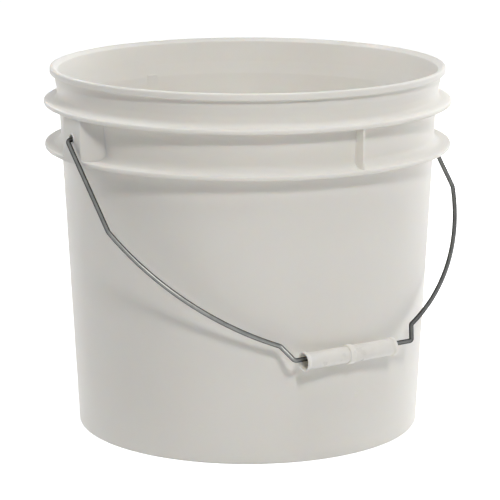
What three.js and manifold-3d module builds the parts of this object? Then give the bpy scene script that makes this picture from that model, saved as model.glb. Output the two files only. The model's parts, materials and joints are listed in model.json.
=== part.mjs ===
// Round plastic pail with a wire bail and a moulded grip.
// Millimetres, +Z up. The origin is the centre of the base, on the floor. The two ears and the bail's
// pivot lie along X, and the bail hangs against the front of the wall, towards -Y.

import * as THREE from 'three';
import { mergeVertices } from 'three/addons/utils/BufferGeometryUtils.js';
import Module from 'manifold-3d';

const wasm = await Module();
wasm.setup();

// Driving dimensions: wall and base of the pail
const pailHeight = 277.3;
const footRadius = 131.5;          // outer face of the wall, carried down to the floor
const wallDraftDegrees = 2.79;
const wallThickness = 2.3;
const baseThickness = 2.9;
const footHeight = 2.6;            // the base panel stands this high above the floor
const footWidth = 6.5;
const footCornerRadius = 1.5;
const insideCornerRadius = 5;
const gateNubRadius = 4;
const gateNubHeight = 1.2;
const gateNubEdgeRadius = 0.6;

// Driving dimensions: flanges, collar and lip
const upperFlangeDrop = 26.7;      // from the top of the pail to the middle of the flange
const flangeSpacing = 33.2;
const flangeWidth = 11.5;          // how far the upper flange stands out from the wall
const lowerFlangeInset = 0.4;      // the lower flange is this much smaller in radius
const flangeThickness = 3.4;
const flangeEdgeRadius = 1.2;
const flangeFilletRadius = 8;
const collarStep = 1.1;            // the collar stands outside the line of the wall
const neckFlare = 0.7;             // the collar widens once more under the lip
const neckDrop = 12;
const lipOverhang = 3.9;
const lipDepth = 5;
const lipEdgeRadius = 1.3;
const lipLandWidth = 1.6;          // flat ring on top of the lip
const lipBevelDepth = 2.6;

// Driving dimensions: ears and webs
const earHalfWidth = 12.3;
const earFaceInset = 1.5;          // the ear's face lies behind the flange's edge
const earFlareDegrees = 45;
const earWall = 2.6;
const pocketBackThickness = 0.3;   // what the ear adds to the wall behind its pocket
const earFilletRadius = 6;
const earEdgeRadius = 1.2;
const pivotBelowMiddle = 0.8;      // the pivot, under the middle of the space between the flanges
const earHoleDiameter = 5.6;
const earHoleRimWidth = 1.0;
const earHoleRimHeight = 0.5;
const webThickness = 1.8;
const webWidth = 8.8;

// Driving dimensions: bail wire
const wireDiameter = 3.4;
const bailClearance = 0.5;         // between a leg of the bail and the upper flange
const hookClearance = 0.3;         // the hook lies this far above the bottom of the ear's hole
const bailDrop = 206.7;            // from the pivot to the middle of the straight run
const hookLength = 6.6;
const hookBendRadius = 3.2;
const legLength = 81;
const legLean = 1.7;
const kneeBendRadius = 16;
const shoulderBow = 13.9;          // height of the long arc above its chord
const shoulderBendRadius = 5;
const jogDepth = 13.3;
const jogSpread = 6.4;
const runBendRadius = 3.4;

// Driving dimensions: grip
const gripLength = 80;
const gripDiameter = 12.4;
const gripPlay = 12.35;            // free wire past each end of the grip when it is centred
const gripShift = -5.3;            // the grip has slid towards one side
const gripSagForward = 0.75;       // the grip's axis, in front of and under the wire that it hangs on
const gripSagDown = 1.75;
const gripBoreDiameter = 7.8;
const gripMouthDiameter = 11.9;
const gripMouthFlare = 2.4;        // depth over which the mouth narrows to the throat
const gripThroatDiameter = 10.2;
const gripThroatDepth = 12;
const gripRimRise = 0.8;
const gripRimWidth = 2.2;
const gripRingRise = 1;
const gripRingWidth = 4.4;
const gripRingEdgeRadius = 0.9;
const gripRingGroove = 0.45;
const gripRingGrooveWidth = 1.1;
const gripEdgeRadius = 0.45;
const restGap = 0.3;               // between the grip's middle ring and the wall

// Fineness of the round forms
const pailSegments = 72;
const nubSegments = 24;
const holeSegments = 24;
const wireSides = 12;
const gripSegments = 28;
const arcTolerance = 0.1;          // between a round corner and its straight steps
const bowSteps = 20;
const sideShare = 0.49;            // of a side, that the rounding of one corner may take
const coarsestTolerance = 0.3;     // as a share of the radius

const radians = THREE.MathUtils.degToRad;
const wallDraft = radians(wallDraftDegrees);
const wireRadius = wireDiameter / 2;
const gripRadius = gripDiameter / 2;

// Levels and radii that the pail, the ears and the bail share
const upperFlangeLevel = pailHeight - upperFlangeDrop;
const lowerFlangeLevel = upperFlangeLevel - flangeSpacing;
const upperFlangeUnderside = upperFlangeLevel - flangeThickness / 2;
const lowerFlangeUnderside = lowerFlangeLevel - flangeThickness / 2;
const pivotLevel = lowerFlangeLevel + flangeSpacing / 2 - pivotBelowMiddle;
const flangeRadius = wallRadius(upperFlangeLevel) + flangeWidth;
const earFace = flangeRadius - earFaceInset;
const pocketFace = earFace - earWall;
const legReach = flangeRadius + bailClearance + wireRadius;

function wallRadius(level) {
  return footRadius + level * Math.tan(wallDraft);
}

// Rounds the corners of an open outline. Each corner is [x, y, radius], and a radius is limited by the
// two sides that meet there.
function roundCorners(corners) {
  const points = [];
  corners.forEach(([x, y, radius = 0], index) => {
    const corner = new THREE.Vector2(x, y);
    if (!radius || index === 0 || index === corners.length - 1) {
      points.push(corner);
      return;
    }
    const before = new THREE.Vector2(...corners[index - 1]).sub(corner);
    const after = new THREE.Vector2(...corners[index + 1]).sub(corner);
    points.push(...cornerArc(corner, before, after, radius));
  });
  return points;
}

function cornerArc(corner, before, after, radius) {
  const shortest = Math.min(before.length(), after.length()) * sideShare;
  before.normalize();
  after.normalize();
  const opening = Math.acos(THREE.MathUtils.clamp(before.dot(after), -1, 1));
  const turn = Math.PI - opening;
  const reach = Math.min(radius / Math.tan(opening / 2), shortest);
  const fitted = reach * Math.tan(opening / 2);
  const middle = before.clone().add(after).normalize().multiplyScalar(fitted / Math.sin(opening / 2));
  const centre = corner.clone().add(middle);
  const first = corner.clone().addScaledVector(before, reach).sub(centre);
  const side = Math.sign(before.x * after.y - before.y * after.x);
  const steps = arcSteps(fitted, turn);
  return Array.from({ length: steps + 1 }, (_, step) => {
    const angle = -side * turn * step / steps;
    return first.clone().rotateAround(new THREE.Vector2(), angle).add(centre);
  });
}

// Steps that keep an arc within the tolerance
function arcSteps(radius, turn) {
  const stepAngle = 2 * Math.acos(1 - Math.min(arcTolerance / radius, coarsestTolerance));
  return Math.max(1, Math.ceil(turn / stepAngle));
}

// Turns a closed geometry into a solid that can be joined and cut
function toSolid(geometry) {
  const bare = geometry.clone();
  bare.deleteAttribute('normal');
  bare.deleteAttribute('uv');
  const merged = mergeVertices(bare);
  const index = merged.index.array;
  const kept = [];
  for (let at = 0; at < index.length; at += 3) {
    const [a, b, c] = index.slice(at, at + 3);
    if (a !== b && b !== c && c !== a) kept.push(a, b, c);
  }
  return new wasm.Manifold(new wasm.Mesh({
    numProp: 3,
    vertProperties: Float32Array.from(merged.attributes.position.array),
    triVerts: Uint32Array.from(kept),
  }));
}

function toGeometry(solid) {
  const mesh = solid.getMesh();
  const geometry = new THREE.BufferGeometry();
  geometry.setAttribute('position', new THREE.BufferAttribute(mesh.vertProperties, 3));
  geometry.setIndex(new THREE.BufferAttribute(mesh.triVerts, 1));
  return geometry;
}

// A profile of [radius, level] points turned about the Z axis
function revolve(profile, segments) {
  return new THREE.LatheGeometry(profile, segments).rotateX(Math.PI / 2);
}

// An outline in the XY plane raised from one level to another
function raise(outline, low, high) {
  const shape = new THREE.Shape(outline);
  return new THREE.ExtrudeGeometry(shape, { depth: high - low, bevelEnabled: false }).translate(0, 0, low);
}

// Corners of one flange, from its underside to where its upper fillet meets the wall
function flangeCorners(level, radius, upperWall) {
  const underside = level - flangeThickness / 2;
  const top = level + flangeThickness / 2;
  return [
    [wallRadius(underside), underside],
    [radius, underside, flangeEdgeRadius],
    [radius, top, flangeEdgeRadius],
    [upperWall(top), top, flangeFilletRadius],
  ];
}

function pailProfile() {
  const collarRadius = (level) => wallRadius(level) + collarStep;
  const lipUnderside = pailHeight - lipDepth;
  const neckRadius = collarRadius(lipUnderside) + neckFlare;
  const neckLevel = lipUnderside - neckDrop / 2;
  const lipRadius = neckRadius + lipOverhang;
  const inside = wallThickness / Math.cos(wallDraft);
  const floor = footHeight + baseThickness;
  const stepLow = upperFlangeUnderside;
  const stepHigh = upperFlangeLevel + flangeFilletRadius;
  return roundCorners([
    [0, footHeight],
    [footRadius - footWidth, footHeight, footCornerRadius],
    [footRadius - footWidth, 0],
    [footRadius, 0, footCornerRadius],
    ...flangeCorners(lowerFlangeLevel, flangeRadius - lowerFlangeInset, wallRadius),
    ...flangeCorners(upperFlangeLevel, flangeRadius, collarRadius),
    [collarRadius(lipUnderside - neckDrop), lipUnderside - neckDrop, neckDrop],
    [neckRadius, neckLevel, neckDrop],
    [neckRadius, lipUnderside],
    [lipRadius, lipUnderside, lipEdgeRadius / 2],
    [lipRadius, pailHeight, lipEdgeRadius],
    [lipRadius - lipEdgeRadius - lipLandWidth, pailHeight, lipEdgeRadius / 2],
    [neckRadius - inside, pailHeight - lipBevelDepth, lipEdgeRadius],
    [collarRadius(stepHigh) - inside, stepHigh, flangeFilletRadius],
    [wallRadius(stepLow) - inside, stepLow, flangeFilletRadius],
    [wallRadius(floor) - inside, floor, insideCornerRadius],
    [0, floor],
  ]);
}

function gateNub() {
  const low = footHeight - gateNubHeight;
  const high = footHeight + baseThickness / 2;
  const corners = [[0, low], [gateNubRadius, low, gateNubEdgeRadius], [gateNubRadius, high], [0, high]];
  return toSolid(revolve(roundCorners(corners), nubSegments));
}

// The side of an ear or of its pocket seen from above: a straight flare at a set distance from the
// pail's axis. The ear points along +X, and this is its side towards +Y.
function flareSide(inset) {
  const lean = radians(earFlareDegrees);
  const along = new THREE.Vector2(-Math.cos(lean), Math.sin(lean));
  const outward = new THREE.Vector2(along.y, -along.x);
  const distance = new THREE.Vector2(earFace, earHalfWidth).dot(outward) - inset;
  const face = earFace - inset;
  return { along, outward, distance, face, halfWidth: (distance - face * outward.x) / outward.y };
}

// The point of a flare, moved out by some offset, that lies on a circle about the pail's axis
function flareMeets({ along, outward, distance }, offset, circle) {
  const across = distance + offset;
  const back = Math.sqrt(circle ** 2 - across ** 2);
  return outward.clone().multiplyScalar(across).addScaledVector(along, -back);
}

function mirrored(half) {
  return [...half, ...half.map(([x, y, ...rest]) => [x, -y, ...rest]).reverse()];
}

function earOutline() {
  const side = flareSide(0);
  const wall = wallRadius(lowerFlangeUnderside);
  const centre = flareMeets(side, earFilletRadius, wall + earFilletRadius);
  const wallEnd = centre.clone().multiplyScalar(wall / centre.length());
  const start = wallEnd.clone().sub(centre);
  const end = side.outward.clone().multiplyScalar(-earFilletRadius);
  const turn = end.angle() - start.angle();
  const steps = arcSteps(earFilletRadius, Math.abs(turn));
  const fillet = Array.from({ length: steps + 1 }, (_, step) => {
    const point = start.clone().rotateAround(new THREE.Vector2(), turn * step / steps).add(centre);
    return [point.x, point.y];
  });
  const root = wallEnd.clone().multiplyScalar(1 - wallThickness / wall);
  return roundCorners(mirrored([[root.x, root.y], ...fillet, [side.face, side.halfWidth, earEdgeRadius]]));
}

function pocketOutline() {
  const side = flareSide(earWall);
  const wallEnd = flareMeets(side, 0, wallRadius(lowerFlangeUnderside) - wallThickness);
  return roundCorners(mirrored([[wallEnd.x, wallEnd.y], [side.face, side.halfWidth, earEdgeRadius]]));
}

// A solid cone inside or on the wall, which keeps ears and pockets out of it
function wallCore(offset) {
  const low = lowerFlangeUnderside - flangeThickness;
  const high = upperFlangeLevel + flangeThickness;
  const points = [[0, low], [wallRadius(low) + offset, low], [wallRadius(high) + offset, high], [0, high]];
  return toSolid(revolve(roundCorners(points), pailSegments));
}

// A round rod along X through the hole of an ear, to cut or to raise
function holePlug(radius, from, to) {
  const level = pivotLevel + earHoleDiameter / 2 - wireRadius - hookClearance;
  const rod = new THREE.CylinderGeometry(radius, radius, to - from, holeSegments).rotateZ(Math.PI / 2);
  return toSolid(rod.translate((from + to) / 2, 0, level));
}

function ear() {
  const boss = toSolid(raise(earOutline(), lowerFlangeUnderside, upperFlangeLevel));
  const rimRadius = earHoleDiameter / 2 + earHoleRimWidth;
  const rim = holePlug(rimRadius, earFace - earWall / 2, earFace + earHoleRimHeight);
  return boss.subtract(wallCore(-wallThickness / 2)).add(rim);
}

function earCuts() {
  const below = lowerFlangeUnderside - flangeThickness;
  const space = toSolid(raise(pocketOutline(), below, upperFlangeUnderside));
  const pocket = space.subtract(wallCore(pocketBackThickness));
  const hole = holePlug(earHoleDiameter / 2, pocketFace - earWall, flangeRadius);
  const trimHalfWidth = Math.sqrt(flangeRadius ** 2 - earFace ** 2);
  const trimDepth = flangeRadius - earFace;
  const trim = new THREE.BoxGeometry(trimDepth, 2 * trimHalfWidth, 2 * flangeThickness);
  trim.translate(earFace + trimDepth / 2, 0, lowerFlangeLevel);
  return { pocket, hole, trim: toSolid(trim) };
}

function web() {
  const wall = wallRadius(lowerFlangeLevel);
  const tip = wallRadius(upperFlangeLevel) + webWidth;
  const foot = webThickness / 2 + 2 * webThickness;
  const outline = mirrored([
    [wall - wallThickness / 2, foot],
    [wall, foot],
    [wall, webThickness / 2, webThickness],
    [tip, webThickness / 2, webThickness / 3],
  ]);
  return toSolid(raise(roundCorners(outline), lowerFlangeLevel, upperFlangeLevel));
}

function turned(solid, degrees) {
  return solid.rotate([0, 0, degrees]);
}

function pailSolid() {
  const cuts = earCuts();
  const ears = [0, 180];
  const webs = [90, 270];
  const cut = (solid, tool, places) =>
    places.reduce((rest, place) => rest.subtract(turned(tool, place)), solid);
  const join = (solid, piece, places) =>
    places.reduce((rest, place) => rest.add(turned(piece, place)), solid);
  const body = toSolid(revolve(pailProfile(), pailSegments)).add(gateNub());
  const trimmed = cut(body, cuts.trim, ears);
  const joined = join(join(trimmed, ear(), ears), web(), webs);
  return cut(cut(joined, cuts.pocket, ears), cuts.hole, ears);
}

// The bail lies in a plane: x runs along the pivot, and drop is measured from the pivot towards the grip
function bowPoints(from, to) {
  const chord = to.clone().sub(from);
  const radius = (chord.lengthSq() / 4 + shoulderBow ** 2) / (2 * shoulderBow);
  const half = Math.asin(chord.length() / 2 / radius);
  const inward = new THREE.Vector2(chord.y, -chord.x).normalize().multiplyScalar(-1);
  const centre = from.clone().add(to).multiplyScalar(0.5).addScaledVector(inward, radius * Math.cos(half));
  const spoke = from.clone().sub(centre);
  const side = Math.sign(spoke.cross(chord));
  return Array.from({ length: bowSteps + 1 }, (_, step) =>
    spoke.clone().rotateAround(new THREE.Vector2(), side * 2 * half * step / bowSteps).add(centre));
}

function bailPath() {
  const hookReach = (wallRadius(pivotLevel) + pocketFace) / 2;
  const runHalf = gripLength / 2 + gripPlay;
  const knee = new THREE.Vector2(legReach - legLean, legLength);
  const shoulder = new THREE.Vector2(runHalf + jogSpread, bailDrop - jogDepth);
  const bow = bowPoints(knee, shoulder).slice(1, -1).map((point) => [point.x, point.y]);
  const half = [
    [hookReach, hookLength],
    [hookReach, 0, hookBendRadius],
    [legReach, 0, hookBendRadius],
    [knee.x, knee.y, kneeBendRadius],
    ...bow,
    [shoulder.x, shoulder.y, shoulderBendRadius],
    [runHalf, bailDrop, runBendRadius],
  ];
  const whole = [...half, ...half.map(([x, drop, ...rest]) => [-x, drop, ...rest]).reverse()];
  return roundCorners(whole).map((point) => new THREE.Vector3(point.x, 0, -point.y));
}

// A curve that passes from one station to the next, so that a sweep has a section only where it needs one
class StationCurve extends THREE.Curve {
  constructor(stations) {
    super();
    this.stations = stations;
  }

  station(share) {
    return Math.round(share * (this.stations.length - 1));
  }

  getPointAt(share, target = new THREE.Vector3()) {
    return target.copy(this.stations[this.station(share)]);
  }

  getTangentAt(share, target = new THREE.Vector3()) {
    const at = this.station(share);
    const here = this.stations[at];
    const before = this.stations[Math.max(at - 1, 0)];
    const after = this.stations[Math.min(at + 1, this.stations.length - 1)];
    const arriving = here.clone().sub(before).normalize();
    const leaving = after.clone().sub(here).normalize();
    return target.copy(arriving.add(leaving)).normalize();
  }
}

function wireGeometry() {
  const stations = bailPath();
  const section = new THREE.Shape().absarc(0, 0, wireRadius, 0, 2 * Math.PI);
  return new THREE.ExtrudeGeometry(section, {
    extrudePath: new StationCurve(stations),
    steps: stations.length - 1,
    curveSegments: wireSides / 2,
  });
}

// The grip's section turned about its own length, which runs along X
function gripGeometry() {
  const half = gripLength / 2;
  const rim = gripRadius + gripRimRise;
  const ring = gripRadius + gripRingRise;
  const bore = gripBoreDiameter / 2;
  const throat = gripThroatDiameter / 2;
  const mouth = gripMouthDiameter / 2;
  const edge = gripEdgeRadius;
  const ringEdge = gripRingWidth / 2;
  const grooveEdge = ringEdge + gripRingGrooveWidth;
  const groove = gripRadius - gripRingGroove;
  const end = [
    [bore, half - gripThroatDepth],
    [throat, half - gripThroatDepth],
    [throat, half - gripMouthFlare],
    [mouth, half, edge],
    [rim, half, edge],
    [rim, half - gripRimWidth, edge],
    [gripRadius, half - gripRimWidth - gripRimRise, edge],
    [gripRadius, grooveEdge, edge],
    [groove, grooveEdge - gripRingGroove],
    [groove, ringEdge],
    [ring, ringEdge, gripRingEdgeRadius],
  ];
  const mirror = end.map(([radius, at, corner]) => [radius, -at, corner]).reverse();
  const outline = roundCorners([[bore, 0], ...end, ...mirror, [bore, 0]]);
  return new THREE.LatheGeometry(outline.reverse(), gripSegments).rotateZ(Math.PI / 2);
}

// How far the bail leans forward from hanging straight down when its grip rests on the wall
function restLean() {
  const reach = (footRadius + pivotLevel * Math.tan(wallDraft)) * Math.cos(wallDraft);
  const sag = gripSagForward * Math.cos(wallDraft) + gripSagDown * Math.sin(wallDraft);
  const ring = gripRadius + gripRingRise + restGap;
  return Math.asin((reach + ring - sag) / bailDrop) - wallDraft;
}

// Where the grip hangs on the wire, in the frame of the bail
function gripPlace() {
  const sag = new THREE.Vector3(0, -gripSagForward, -gripSagDown);
  sag.applyAxisAngle(new THREE.Vector3(1, 0, 0), restLean());
  return sag.add(new THREE.Vector3(gripShift, 0, -bailDrop));
}

function part(name, geometry, look) {
  const mesh = new THREE.Mesh(geometry, new THREE.MeshStandardMaterial(look));
  mesh.name = name;
  return mesh;
}

const pail = part('pail', toGeometry(pailSolid()), { color: 0xe6e3db, roughness: 0.42, metalness: 0 });
const bailWire = part('bail_wire', wireGeometry(), { color: 0x9b9d9e, roughness: 0.35, metalness: 1 });
const grip = part('grip', gripGeometry(), { color: 0xe2e1d8, roughness: 0.38, metalness: 0 });
grip.position.copy(gripPlace());

const bail = new THREE.Group();
bail.position.z = pivotLevel;
bail.rotation.x = -restLean();
bail.add(bailWire, grip);

const assembly = new THREE.Group();
assembly.add(pail, bail);

export default assembly;
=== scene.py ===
import json
import math

import bmesh
import bpy
from mathutils import Matrix, Vector


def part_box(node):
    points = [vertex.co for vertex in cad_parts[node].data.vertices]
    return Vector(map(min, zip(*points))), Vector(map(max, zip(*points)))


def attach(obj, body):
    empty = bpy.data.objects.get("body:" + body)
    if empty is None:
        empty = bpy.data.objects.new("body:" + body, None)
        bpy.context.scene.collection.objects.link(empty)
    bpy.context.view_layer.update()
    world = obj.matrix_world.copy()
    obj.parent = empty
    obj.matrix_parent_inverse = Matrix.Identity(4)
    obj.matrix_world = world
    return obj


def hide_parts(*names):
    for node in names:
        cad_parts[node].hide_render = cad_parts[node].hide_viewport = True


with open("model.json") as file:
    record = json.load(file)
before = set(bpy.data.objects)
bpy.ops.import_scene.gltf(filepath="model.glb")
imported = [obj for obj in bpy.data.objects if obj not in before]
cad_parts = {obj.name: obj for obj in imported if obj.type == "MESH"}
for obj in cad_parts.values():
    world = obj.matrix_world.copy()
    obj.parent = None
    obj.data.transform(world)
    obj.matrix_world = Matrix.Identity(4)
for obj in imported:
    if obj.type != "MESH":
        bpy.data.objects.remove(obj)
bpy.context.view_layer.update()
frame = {"record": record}

# Sizes are in millimetres where they are named, and turned into metres when a mesh is made
MM = 0.001

# Sizes that the frame gives
pail_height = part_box("pail")[1].z / MM
pivot_level = frame["record"]["behaviour"]["joints"][0]["pos_m"][2] / MM
grip_line = Vector(frame["record"]["behaviour"]["joints"][1]["pos_m"]) / MM

# Wall and base of the pail
foot_radius = 131.5
wall_draft = math.radians(2.79)
wall_thickness = 2.3
base_thickness = 2.9
foot_height = 2.6
foot_width = 6.5
foot_corner_radius = 1.5
inside_corner_radius = 5
gate_radius = 4
gate_height = 1.2

# Flanges, collar and lip
upper_flange_drop = 26.7
flange_spacing = 33.2
flange_width = 11.5
lower_flange_inset = 0.4
flange_thickness = 3.4
flange_edge_radius = 1.2
flange_fillet_radius = 8
root_fillet_radius = 0.5
collar_step = 1.1
neck_flare = 0.7
neck_drop = 12
lip_overhang = 3.9
lip_depth = 5
lip_edge_radius = 1.3
lip_land_width = 1.6
lip_bevel_depth = 2.6

# Ears and webs
ear_half_width = 12.3
ear_face_inset = 1.5
ear_flare = math.radians(45)
ear_wall = 2.6
pocket_back_thickness = 0.3
ear_fillet_radius = 6
ear_edge_radius = 1.2
ear_hole_radius = 2.8
ear_bead_radius = 0.55
seam = 0.02                # keeps two flush faces apart while they are joined
web_thickness = 1.8
web_width = 8.8

# Bail wire
wire_radius = 1.7
bail_clearance = 0.5
hook_clearance = 0.3
bail_drop = 206.7
hook_length = 6.6
hook_bend_radius = 3.2
leg_length = 81
leg_lean = 1.7
knee_bend_radius = 16
shoulder_bow = 13.9
shoulder_bend_radius = 5
jog_depth = 13.3
jog_spread = 6.4
run_bend_radius = 3.4
wire_end_bevel = 0.35

# Grip
grip_length = 80
grip_radius = 6.2
grip_play = 12.35
grip_shift = -5.3
grip_sag = Vector((0, -0.75, -1.75))
grip_bore_radius = 3.9
grip_mouth_radius = 5.95
grip_mouth_flare = 2.4
grip_throat_radius = 5.1
grip_throat_depth = 12
grip_rim_rise = 0.8
grip_rim_width = 2.2
grip_ring_rise = 1.0
grip_ring_width = 4.4
grip_ring_edge_radius = 0.9
grip_ring_groove = 0.2
grip_ring_groove_width = 1.1
grip_edge_radius = 0.45

# Fineness of the meshes
arc_tolerance = 0.008
pail_segments = 288
grip_segments = 96
wire_sides = 28
bead_sides = 16
hole_segments = 64
gate_segments = 48
bow_steps = 60
smooth_angle = math.radians(35)
coarsest_step = math.radians(30)
side_share = 0.49

# Camera, fitted to the photograph's ellipses: azimuth in degrees, pitch in radians, places in metres,
# lens and sensor in millimetres
camera_azimuth = -33.1
camera_distance = 1.846
camera_height = 0.5446
camera_pitch = 0.22
camera_lens = 176.05
camera_shift = 0.0046
camera_sensor = 36

# Light, with the half width of the floor in metres
world_strength = 0.08
floor_glow = 0.9
floor_half_width = 3.0

# Levels and radii that the pail, the ears and the bail share
upper_flange_level = pail_height - upper_flange_drop
lower_flange_level = upper_flange_level - flange_spacing
upper_underside = upper_flange_level - flange_thickness / 2
lower_underside = lower_flange_level - flange_thickness / 2


def wall_radius(level):
    return foot_radius + level * math.tan(wall_draft)


flange_radius = wall_radius(upper_flange_level) + flange_width
ear_face = flange_radius - ear_face_inset
pocket_face = ear_face - ear_wall
leg_reach = flange_radius + bail_clearance + wire_radius
hole_level = pivot_level + ear_hole_radius - wire_radius - hook_clearance


def arc_steps(radius, turn):
    step = 2 * math.acos(1 - min(arc_tolerance / radius, 0.5))
    return max(1, math.ceil(turn / min(step, coarsest_step)))


def corner_arc(corner, before, after, radius):
    """The round that joins two sides of an outline at a corner."""
    shortest = min(before.length, after.length) * side_share
    before = before.normalized()
    after = after.normalized()
    opening = math.acos(max(-1, min(1, before.dot(after))))
    turn = math.pi - opening
    reach = min(radius / math.tan(opening / 2), shortest)
    fitted = reach * math.tan(opening / 2)
    centre = corner + (before + after).normalized() * (fitted / math.sin(opening / 2))
    first = corner + before * reach - centre
    side = -math.copysign(1, before.x * after.y - before.y * after.x)
    steps = arc_steps(fitted, turn)
    return [centre + Matrix.Rotation(side * turn * step / steps, 2) @ first for step in range(steps + 1)]


def round_corners(corners):
    """Points of an open outline whose corners are (x, y) or (x, y, radius)."""
    points = []
    for index, corner in enumerate(corners):
        place = Vector(corner[:2])
        radius = corner[2] if len(corner) > 2 else 0
        if not radius or index in (0, len(corners) - 1):
            points.append(place)
            continue
        before = Vector(corners[index - 1][:2]) - place
        after = Vector(corners[index + 1][:2]) - place
        points += corner_arc(place, before, after, radius)
    return points


def mirrored(half):
    return half + [(x, -y, *rest) for x, y, *rest in reversed(half)]


def new_object(name, bm):
    """A smooth-shaded object made from a bmesh in millimetres, with true edges kept sharp."""
    bmesh.ops.scale(bm, vec=(MM, MM, MM), verts=bm.verts)
    bmesh.ops.recalc_face_normals(bm, faces=bm.faces)
    mesh = bpy.data.meshes.new(name)
    bm.to_mesh(mesh)
    bm.free()
    piece = bpy.data.objects.new(name, mesh)
    bpy.context.scene.collection.objects.link(piece)
    shade(piece)
    return piece


def shade(piece):
    piece.data.shade_smooth()
    piece.data.set_sharp_from_angle(angle=smooth_angle)


def skin_rings(bm, rings):
    """Joins closed rings of vertices, each a list of the same length, with quads."""
    count = len(rings[0])
    for lower, upper in zip(rings, rings[1:]):
        for at in range(count):
            following = (at + 1) % count
            bm.faces.new((lower[at], lower[following], upper[following], upper[at]))


def cap(bm, ring, middle):
    """Closes the end of a revolve with triangles about a point on its axis."""
    for at, vertex in enumerate(ring):
        bm.faces.new((vertex, ring[(at + 1) % len(ring)], middle))


def revolve(bm, profile, segments):
    """A profile of (radius, level) points turned about the Z axis, from the axis back to the axis."""
    turns = [2 * math.pi * at / segments for at in range(segments)]
    rings = [
        [bm.verts.new((p.x * math.cos(turn), p.x * math.sin(turn), p.y)) for turn in turns]
        for p in profile[1:-1]
    ]
    skin_rings(bm, rings)
    cap(bm, rings[0], bm.verts.new((0, 0, profile[0].y)))
    cap(bm, rings[-1], bm.verts.new((0, 0, profile[-1].y)))


def prism(bm, outline, low, high):
    """An outline in the XY plane raised from one level to another."""
    rings = [[bm.verts.new((p.x, p.y, level)) for p in outline] for level in (low, high)]
    skin_rings(bm, rings)
    for ring in rings:
        bm.faces.new(ring)


def sweep(bm, stations, radii, sides):
    """A round section carried along a path in the XZ plane, with a flat face at each end."""
    rings = []
    across = Vector((0, 1, 0))
    for at, (station, radius) in enumerate(zip(stations, radii)):
        before = stations[max(at - 1, 0)]
        after = stations[min(at + 1, len(stations) - 1)]
        if (after - before).length < 1e-9:
            raise ValueError("two stations of a path lie in one place")
        arriving = (station - before).normalized() if at else (after - station).normalized()
        leaving = (after - station).normalized() if at < len(stations) - 1 else arriving
        up = (arriving + leaving).normalized().cross(across)
        turns = [2 * math.pi * side / sides for side in range(sides)]
        ring = [station + (across * math.cos(t) + up * math.sin(t)) * radius for t in turns]
        rings.append([bm.verts.new(point) for point in ring])
    skin_rings(bm, rings)
    bm.faces.new(rings[0])
    bm.faces.new(rings[-1])


def boolean(piece, tool, operation):
    """Joins a tool to a piece, or cuts it out, and deletes the tool."""
    modifier = piece.modifiers.new(operation, "BOOLEAN")
    modifier.operation = operation
    modifier.solver = "EXACT"
    modifier.object = tool
    shown = piece.evaluated_get(bpy.context.evaluated_depsgraph_get())
    mesh = bpy.data.meshes.new_from_object(shown)
    old = piece.data
    piece.modifiers.clear()
    piece.data = mesh
    bpy.data.meshes.remove(old)
    bpy.data.objects.remove(tool)


def flange_corners(level, radius, upper_wall):
    underside = level - flange_thickness / 2
    top = level + flange_thickness / 2
    return [
        (wall_radius(underside), underside, root_fillet_radius),
        (radius, underside, flange_edge_radius),
        (radius, top, flange_edge_radius),
        (upper_wall(top), top, flange_fillet_radius),
    ]


def pail_profile():
    def collar_radius(level):
        return wall_radius(level) + collar_step

    lip_underside = pail_height - lip_depth
    neck_radius = collar_radius(lip_underside) + neck_flare
    neck_level = lip_underside - neck_drop / 2
    neck_start = lip_underside - neck_drop
    lip_radius = neck_radius + lip_overhang
    land_inside = lip_radius - lip_edge_radius - lip_land_width
    inside = wall_thickness / math.cos(wall_draft)
    floor = foot_height + base_thickness
    step_high = upper_flange_level + flange_fillet_radius
    return round_corners([
        (0, foot_height),
        (foot_radius - foot_width, foot_height, foot_corner_radius),
        (foot_radius - foot_width, 0, root_fillet_radius),
        (foot_radius, 0, foot_corner_radius),
        *flange_corners(lower_flange_level, flange_radius - lower_flange_inset, wall_radius),
        *flange_corners(upper_flange_level, flange_radius, collar_radius),
        (collar_radius(neck_start), neck_start, neck_drop),
        (neck_radius, neck_level, neck_drop),
        (neck_radius, lip_underside, root_fillet_radius),
        (lip_radius, lip_underside, lip_edge_radius / 2),
        (lip_radius, pail_height, lip_edge_radius),
        (land_inside, pail_height, lip_edge_radius / 2),
        (neck_radius - inside, pail_height - lip_bevel_depth, lip_edge_radius),
        (collar_radius(step_high) - inside, step_high, flange_fillet_radius),
        (wall_radius(upper_underside) - inside, upper_underside, flange_fillet_radius),
        (wall_radius(floor) - inside, floor, inside_corner_radius),
        (0, floor),
    ])


def flare_side(inset):
    """The straight side of an ear, or of its pocket, seen from above."""
    along = Vector((-math.cos(ear_flare), math.sin(ear_flare)))
    outward = Vector((along.y, -along.x))
    distance = Vector((ear_face, ear_half_width)).dot(outward) - inset
    face = ear_face - inset
    return along, outward, distance, face, (distance - face * outward.x) / outward.y


def flare_meets(along, outward, distance, circle):
    """The point of a flare that lies on a circle about the pail's axis."""
    return outward * distance - along * math.sqrt(circle ** 2 - distance ** 2)


def ear_outline():
    along, outward, distance, face, half_width = flare_side(0)
    wall = wall_radius(lower_underside)
    centre = flare_meets(along, outward, distance + ear_fillet_radius, wall + ear_fillet_radius)
    wall_end = centre * (wall / centre.length)
    start = wall_end - centre
    turn = start.angle_signed(-outward)
    steps = arc_steps(ear_fillet_radius, abs(turn))
    fillet = [centre + Matrix.Rotation(-turn * step / steps, 2) @ start for step in range(steps + 1)]
    root = wall_end * (1 - wall_thickness / wall)
    half = [tuple(root)] + [tuple(point) for point in fillet] + [(face, half_width, ear_edge_radius)]
    return round_corners(mirrored(half))


def pocket_outline():
    along, outward, distance, face, half_width = flare_side(ear_wall)
    wall_end = flare_meets(along, outward, distance, wall_radius(lower_underside) - wall_thickness)
    return round_corners(mirrored([tuple(wall_end), (face, half_width, ear_edge_radius)]))


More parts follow.
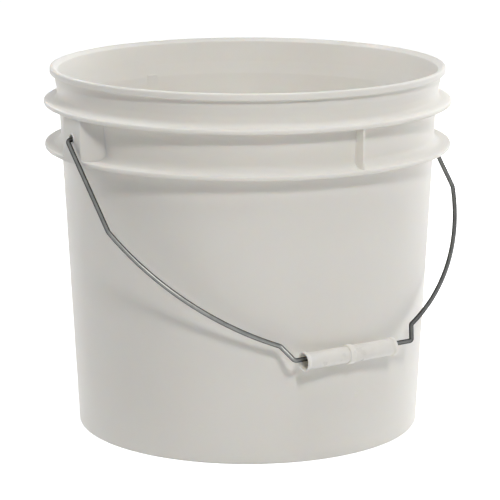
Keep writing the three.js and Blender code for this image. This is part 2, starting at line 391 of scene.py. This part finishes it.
def wall_core(offset):
    """A solid cone inside or on the wall, which keeps ears and pockets out of it."""
    low = lower_underside - flange_thickness
    high = upper_flange_level + flange_thickness
    bm = bmesh.new()
    corners = [(0, low), (wall_radius(low) + offset, low), (wall_radius(high) + offset, high), (0, high)]
    revolve(bm, round_corners(corners), pail_segments)
    return new_object("core", bm)


def hole_ring(bm, radius, painted_dark_reflection):
    """A ring of vertices about the middle of an ear's hole, at some distance from the pail's axis."""
    turns = [2 * math.pi * at / hole_segments for at in range(hole_segments)]
    return [
        bm.verts.new((painted_dark_reflection, radius * math.cos(turn), hole_level + radius * math.sin(turn)))
        for turn in turns
    ]


def hole_plug():
    bm = bmesh.new()
    rings = [hole_ring(bm, ear_hole_radius, painted_dark_reflection) for painted_dark_reflection in (pocket_face - ear_wall, flange_radius)]
    skin_rings(bm, rings)
    for ring in rings:
        bm.faces.new(ring)
    return new_object("hole", bm)


def hole_bead():
    """A round bead on the ear's face, all round the hole."""
    bm = bmesh.new()
    middle = ear_hole_radius + ear_bead_radius
    turns = [2 * math.pi * at / bead_sides for at in range(bead_sides)]
    rings = [
        hole_ring(bm, middle + ear_bead_radius * math.sin(turn), ear_face + ear_bead_radius * math.cos(turn))
        for turn in turns
    ]
    skin_rings(bm, rings + rings[:1])
    return new_object("bead", bm)


def turned(piece, degrees):
    """A copy of a tool turned about the pail's axis."""
    copy = piece.copy()
    copy.data = piece.data.copy()
    copy.data.transform(Matrix.Rotation(math.radians(degrees), 4, "Z"))
    bpy.context.scene.collection.objects.link(copy)
    return copy


def ear():
    bm = bmesh.new()
    prism(bm, ear_outline(), lower_underside + seam, upper_flange_level)
    boss = new_object("ear", bm)
    boolean(boss, wall_core(-wall_thickness / 2), "DIFFERENCE")
    boolean(boss, hole_bead(), "UNION")
    return boss


def pocket():
    bm = bmesh.new()
    prism(bm, pocket_outline(), lower_underside - flange_thickness, upper_underside)
    hollow = new_object("pocket", bm)
    boolean(hollow, wall_core(pocket_back_thickness), "DIFFERENCE")
    return hollow


def flange_trim():
    """What the flat of an ear takes off the edge of the lower flange."""
    half_width = math.sqrt(flange_radius ** 2 - ear_face ** 2)
    near = ear_face - seam
    outline = mirrored([(near, half_width), (flange_radius, half_width)])
    bm = bmesh.new()
    low = lower_underside - flange_thickness / 2
    prism(bm, [Vector(point) for point in outline], low, lower_flange_level + flange_thickness)
    return new_object("trim", bm)


def web():
    wall = wall_radius(lower_flange_level)
    tip = wall_radius(upper_flange_level) + web_width
    foot = web_thickness / 2 + 2 * web_thickness
    outline = mirrored([
        (wall - wall_thickness / 2, foot),
        (wall, foot),
        (wall, web_thickness / 2, web_thickness),
        (tip, web_thickness / 2, web_thickness / 3),
    ])
    bm = bmesh.new()
    prism(bm, round_corners(outline), lower_flange_level, upper_flange_level)
    return new_object("web", bm)


def gate():
    low = foot_height - gate_height
    high = foot_height + base_thickness / 2
    bm = bmesh.new()
    corners = [(0, low), (gate_radius, low, root_fillet_radius), (gate_radius, high), (0, high)]
    revolve(bm, round_corners(corners), gate_segments)
    return new_object("gate", bm)


def build_pail():
    bm = bmesh.new()
    revolve(bm, pail_profile(), pail_segments)
    pail = new_object("pail_shell", bm)
    boolean(pail, gate(), "UNION")
    steps = (
        (flange_trim(), (0, 180), "DIFFERENCE"),
        (ear(), (0, 180), "UNION"),
        (web(), (90, 270), "UNION"),
        (pocket(), (0, 180), "DIFFERENCE"),
        (hole_plug(), (0, 180), "DIFFERENCE"),
    )
    for tool, places, operation in steps:
        for place in places:
            boolean(pail, turned(tool, place), operation)
        bpy.data.objects.remove(tool)
    shade(pail)
    return pail


def bow_points(start, end):
    """The long arc of the bail between its knee and its shoulder."""
    chord = end - start
    radius = (chord.length_squared / 4 + shoulder_bow ** 2) / (2 * shoulder_bow)
    half = math.asin(chord.length / 2 / radius)
    inward = Vector((-chord.y, chord.x)).normalized()
    centre = (start + end) / 2 + inward * radius * math.cos(half)
    spoke = start - centre
    side = math.copysign(1, spoke.cross(chord))
    return [
        centre + Matrix.Rotation(side * 2 * half * step / bow_steps, 2) @ spoke
        for step in range(1, bow_steps)
    ]


def bail_path():
    """The wire in the bail's own plane: x along the pivot, and the drop from the pivot."""
    hook_reach = (wall_radius(pivot_level) + pocket_face) / 2
    run_half = grip_length / 2 + grip_play
    knee = Vector((leg_reach - leg_lean, leg_length))
    shoulder = Vector((run_half + jog_spread, bail_drop - jog_depth))
    half = [
        (hook_reach, hook_length),
        (hook_reach, 0, hook_bend_radius),
        (leg_reach, 0, hook_bend_radius),
        (*knee, knee_bend_radius),
        *[tuple(point) for point in bow_points(knee, shoulder)],
        (*shoulder, shoulder_bend_radius),
        (run_half, bail_drop, run_bend_radius),
    ]
    whole = half + [(-x, drop, *rest) for x, drop, *rest in reversed(half)]
    return round_corners(whole)


def in_bail_plane(piece):
    """Swings a piece made hanging straight down from the pivot to where the frame has the bail."""
    run = grip_line - grip_sag
    lean = math.atan2(-run.y, pivot_level - run.z)
    piece.data.transform(Matrix.Translation((0, 0, pivot_level * MM)) @ Matrix.Rotation(-lean, 4, "X"))


def build_wire():
    stations = [Vector((point.x, 0, -point.y)) for point in bail_path()]
    lead_in = (stations[1] - stations[0]).normalized() * wire_end_bevel
    lead_out = (stations[-2] - stations[-1]).normalized() * wire_end_bevel
    stations = [stations[0], stations[0] + lead_in, *stations[1:-1], stations[-1] + lead_out, stations[-1]]
    radii = [wire_radius] * len(stations)
    radii[0] = radii[-1] = wire_radius - wire_end_bevel
    bm = bmesh.new()
    sweep(bm, stations, radii, wire_sides)
    wire = new_object("bail_rod", bm)
    in_bail_plane(wire)
    return wire


def grip_profile():
    half = grip_length / 2
    rim = grip_radius + grip_rim_rise
    ring = grip_radius + grip_ring_rise
    ring_edge = grip_ring_width / 2
    groove_edge = ring_edge + grip_ring_groove_width
    groove = grip_radius - grip_ring_groove
    edge = grip_edge_radius
    end = [
        (grip_bore_radius, half - grip_throat_depth, edge),
        (grip_throat_radius, half - grip_throat_depth, edge),
        (grip_throat_radius, half - grip_mouth_flare, edge),
        (grip_mouth_radius, half, edge),
        (rim, half, edge),
        (rim, half - grip_rim_width, edge),
        (grip_radius, half - grip_rim_width - grip_rim_rise, edge),
        (grip_radius, groove_edge, edge),
        (groove, groove_edge - grip_ring_groove, edge / 2),
        (groove, ring_edge, edge / 2),
        (ring, ring_edge, grip_ring_edge_radius),
    ]
    mirror = [(radius, -at, *rest) for radius, at, *rest in reversed(end)]
    return round_corners([(grip_bore_radius, 0), *end, *mirror, (grip_bore_radius, 0)])[:-1]


def build_grip():
    """The grip's section turned about its own axis, a little under the wire's."""
    bm = bmesh.new()
    turns = [2 * math.pi * at / grip_segments for at in range(grip_segments)]
    rings = []
    for p in grip_profile():
        ring = [Vector((p.y + grip_shift, p.x * math.cos(turn), p.x * math.sin(turn))) for turn in turns]
        rings.append([bm.verts.new(point + grip_line) for point in ring])
    skin_rings(bm, rings + rings[:1])
    return new_object("grip_tube", bm)


class Nodes:
    """Short ways to build one material's node tree."""

    def __init__(self, name):
        self.material = bpy.data.materials.new(name)
        self.material.use_nodes = True
        self.tree = self.material.node_tree
        self.shader = self.tree.nodes["Principled BSDF"]
        self.output = self.tree.nodes["Material Output"]

    def add(self, kind, **settings):
        node = self.tree.nodes.new(kind)
        for key, value in settings.items():
            setattr(node, key, value)
        return node

    def link(self, source, target):
        self.tree.links.new(source, target)

    def noise(self, coordinates, scale, detail, roughness):
        node = self.add("ShaderNodeTexNoise")
        node.inputs["Scale"].default_value = scale
        node.inputs["Detail"].default_value = detail
        node.inputs["Roughness"].default_value = roughness
        self.link(coordinates, node.inputs["Vector"])
        return node.outputs["Fac"]

    def stretched(self, scale):
        """Object coordinates stretched along some axes."""
        coordinates = self.add("ShaderNodeTexCoord")
        mapping = self.add("ShaderNodeMapping")
        mapping.inputs["Scale"].default_value = scale
        self.link(coordinates.outputs["Object"], mapping.inputs["Vector"])
        return mapping.outputs["Vector"]

    def ramp(self, factor, stops):
        """A colour ramp with (position, colour) stops."""
        node = self.add("ShaderNodeValToRGB")
        while len(node.color_ramp.elements) < len(stops):
            node.color_ramp.elements.new(0.5)
        for element, (position, colour) in zip(node.color_ramp.elements, stops):
            element.position = position
            element.color = (*colour, 1)
        self.link(factor, node.inputs["Fac"])
        return node.outputs["Color"]

    def tinted(self, colour, tint):
        """One colour multiplied by another."""
        node = self.add("ShaderNodeVectorMath", operation="MULTIPLY")
        self.link(colour, node.inputs[0])
        self.link(tint, node.inputs[1])
        return node.outputs["Vector"]

    def span(self, factor, low, high):
        """A factor of 0 to 1 turned into a value from low to high."""
        node = self.add("ShaderNodeMapRange")
        node.inputs["To Min"].default_value = low
        node.inputs["To Max"].default_value = high
        self.link(factor, node.inputs["Value"])
        return node.outputs["Result"]

    def bump(self, height, strength, distance, under=None):
        node = self.add("ShaderNodeBump")
        node.inputs["Strength"].default_value = strength
        node.inputs["Distance"].default_value = distance
        self.link(height, node.inputs["Height"])
        if under:
            self.link(under, node.inputs["Normal"])
        return node.outputs["Normal"]


def pail_plastic():
    """Off-white high-density polyethylene: waxy, slightly cloudy, with faint flow lines and specks."""
    n = Nodes("waxy_off_white_plastic")
    every_way = n.stretched((1, 1, 1))
    upright = n.stretched((1, 1, 0.06))
    cloud = n.noise(every_way, 9, 3, 0.55)
    flow = n.noise(upright, 60, 3, 0.5)
    grain = n.noise(every_way, 900, 2, 0.6)
    tint = n.ramp(cloud, ((0.3, (0.85, 0.836, 0.798)), (0.7, (0.87, 0.857, 0.82))))
    n.link(tint, n.shader.inputs["Base Color"])
    n.link(n.span(flow, 0.44, 0.54), n.shader.inputs["Roughness"])
    fine = n.bump(grain, 0.06, 0.0002)
    n.link(n.bump(flow, 0.05, 0.0006, fine), n.shader.inputs["Normal"])
    n.shader.inputs["IOR"].default_value = 1.5
    n.shader.inputs["Specular IOR Level"].default_value = 0.2
    n.shader.inputs["Subsurface Weight"].default_value = 0.5
    n.shader.inputs["Subsurface Radius"].default_value = (1.0, 0.85, 0.65)
    n.shader.inputs["Subsurface Scale"].default_value = 0.0015
    return n.material


def galvanised_wire():
    """Drawn zinc-coated steel wire: grey, with small cloudy patches, and with a painted dark reflection that
    darkens it towards its outline.
    """
    n = Nodes("drawn_zinc_coated_steel")
    every_way = n.stretched((1, 1, 1))
    cloud = n.noise(every_way, 160, 4, 0.6)
    grain = n.noise(every_way, 1500, 2, 0.6)
    patches = n.ramp(cloud, ((0.3, (0.75, 0.76, 0.76)), (0.72, (1.0, 1.0, 0.98))))
    # Painted reflection: the colour darkens as the surface turns away from the view, standing in for dark
    # surroundings reflected near the wire's outline
    turned_away = n.add("ShaderNodeLayerWeight").outputs["Facing"]
    painted_dark_reflection = n.ramp(turned_away, (
        (0.12, (0.22, 0.225, 0.22)),
        (0.35, (0.11, 0.11, 0.11)),
        (0.7, (0.03, 0.03, 0.03)),
    ))
    n.link(n.tinted(painted_dark_reflection, patches), n.shader.inputs["Base Color"])
    n.link(n.span(cloud, 0.24, 0.36), n.shader.inputs["Roughness"])
    n.link(n.bump(grain, 0.12, 0.0001), n.shader.inputs["Normal"])
    n.shader.inputs["Metallic"].default_value = 1.0
    # The dark edge tint also dims the reflection at the outline, as part of the painted dark reflection
    n.shader.inputs["Specular Tint"].default_value = (0.25, 0.25, 0.25, 1)
    return n.material


def grip_plastic():
    """Natural low-density polyethylene: milky, with light that spreads a few millimetres inside."""
    n = Nodes("milky_soft_plastic")
    every_way = n.stretched((1, 1, 1))
    lengthwise = n.stretched((0.08, 1, 1))
    cloud = n.noise(every_way, 90, 3, 0.5)
    flow = n.noise(lengthwise, 700, 2, 0.5)
    tint = n.ramp(cloud, ((0.3, (0.83, 0.81, 0.765)), (0.7, (0.87, 0.855, 0.815))))
    n.link(tint, n.shader.inputs["Base Color"])
    n.link(n.span(cloud, 0.24, 0.34), n.shader.inputs["Roughness"])
    n.link(n.bump(flow, 0.15, 0.0002), n.shader.inputs["Normal"])
    n.shader.inputs["IOR"].default_value = 1.51
    n.shader.inputs["Subsurface Weight"].default_value = 0.8
    n.shader.inputs["Subsurface Radius"].default_value = (1.0, 0.95, 0.8)
    n.shader.inputs["Subsurface Scale"].default_value = 0.002
    return n.material


def seen_directly(tree):
    """1 where a ray comes from the camera, or from a reflection or glass."""
    path = tree.nodes.new("ShaderNodeLightPath")
    total = path.outputs["Is Camera Ray"]
    for name in ("Is Glossy Ray", "Is Transmission Ray"):
        both = tree.nodes.new("ShaderNodeMath")
        both.operation = "MAXIMUM"
        tree.links.new(total, both.inputs[0])
        tree.links.new(path.outputs[name], both.inputs[1])
        total = both.outputs[0]
    return total


def make_world():
    world = bpy.data.worlds.new("studio")
    world.use_nodes = True
    tree = world.node_tree
    background = tree.nodes["Background"]
    background.inputs["Color"].default_value = (1, 1, 1, 1)
    background.inputs["Strength"].default_value = world_strength
    white = tree.nodes.new("ShaderNodeBackground")
    white.inputs["Color"].default_value = (1, 1, 1, 1)
    mix = tree.nodes.new("ShaderNodeMixShader")
    tree.links.new(seen_directly(tree), mix.inputs["Fac"])
    tree.links.new(background.outputs[0], mix.inputs[1])
    tree.links.new(white.outputs[0], mix.inputs[2])
    tree.links.new(mix.outputs[0], tree.nodes["World Output"].inputs["Surface"])
    bpy.context.scene.world = world


def make_floor():
    """A plain white floor that keeps the pail's soft shadow."""
    bm = bmesh.new()
    bmesh.ops.create_grid(bm, x_segments=1, y_segments=1, size=floor_half_width)
    mesh = bpy.data.meshes.new("floor")
    bm.to_mesh(mesh)
    bm.free()
    floor = bpy.data.objects.new("floor", mesh)
    bpy.context.scene.collection.objects.link(floor)
    n = Nodes("floor_white")
    n.shader.inputs["Base Color"].default_value = (0.9, 0.9, 0.9, 1)
    n.shader.inputs["Roughness"].default_value = 0.9
    n.shader.inputs["Specular IOR Level"].default_value = 0.0
    glow = n.add("ShaderNodeEmission")
    glow.inputs["Strength"].default_value = floor_glow
    both = n.add("ShaderNodeAddShader")
    n.link(n.shader.outputs[0], both.inputs[0])
    n.link(glow.outputs[0], both.inputs[1])
    mix = n.add("ShaderNodeMixShader")
    n.link(seen_directly(n.tree), mix.inputs["Fac"])
    n.link(n.shader.outputs[0], mix.inputs[1])
    n.link(both.outputs[0], mix.inputs[2])
    n.link(mix.outputs[0], n.output.inputs["Surface"])
    mesh.materials.append(n.material)


def area_light(name, azimuth, elevation, distance, size, power, colour, spread=180, in_gloss=True):
    """A square lamp that faces the middle of the pail, in degrees, metres and watts.

    Azimuth 0 is in front, at -Y, and 90 at +X. A lamp that isn't in gloss leaves no reflection.
    """
    around = math.radians(azimuth)
    up = math.radians(elevation)
    aim = Vector((0, 0, pail_height * MM / 2))
    offset = Vector((math.sin(around) * math.cos(up), -math.cos(around) * math.cos(up), math.sin(up)))
    lamp = bpy.data.lights.new(name, "AREA")
    lamp.size = size
    lamp.energy = power
    lamp.color = colour
    lamp.spread = math.radians(spread)
    light = bpy.data.objects.new(name, lamp)
    light.location = aim + offset * distance
    light.rotation_euler = (-offset).to_track_quat("-Z", "Y").to_euler()
    light.visible_glossy = in_gloss
    bpy.context.scene.collection.objects.link(light)


def make_camera():
    """The photograph's view: 33 degrees to the left of the front, a little above the rim."""
    around = math.radians(camera_azimuth)
    data = bpy.data.cameras.new("camera")
    data.sensor_width = camera_sensor
    data.lens = camera_lens
    data.shift_x = camera_shift
    camera = bpy.data.objects.new("camera", data)
    camera.location = (
        math.sin(around) * camera_distance,
        -math.cos(around) * camera_distance,
        camera_height,
    )
    camera.rotation_euler = (math.pi / 2 - camera_pitch, 0, around)
    bpy.context.scene.collection.objects.link(camera)
    bpy.context.scene.camera = camera


bpy.context.scene.view_settings.view_transform = "Standard"
make_camera()
make_world()
make_floor()
area_light("key", -17, 39, 2.2, 0.3, 15.8, (1.0, 0.985, 0.965))
area_light("side", 80, 12, 2.0, 0.9, 10, (1.0, 1.0, 1.0))
area_light("right", 112, 15, 1.8, 1.0, 18, (1.0, 1.0, 1.0), in_gloss=False)
area_light("left", -150, 26, 2.0, 1.0, 14, (1.0, 1.0, 1.0), in_gloss=False)
area_light("inner", -33, 66, 2.2, 0.7, 10.5, (1.0, 1.0, 1.0), in_gloss=False)
area_light("top", 0, 89, 1.6, 0.16, 0.14, (0.98, 0.99, 1.0), 9, in_gloss=False)

pail = build_pail()
wire = build_wire()
grip = build_grip()
for piece, node, body, finish, slot in (
    (pail, "pail", "pail", pail_plastic(), "pail_plastic"),
    (wire, "bail_wire", "bail", galvanised_wire(), "galvanised_wire"),
    (grip, "grip", "grip", grip_plastic(), "grip_plastic"),
):
    piece.data.materials.clear()
    piece.data.materials.append(finish)
    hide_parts(node)
    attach(piece, body)
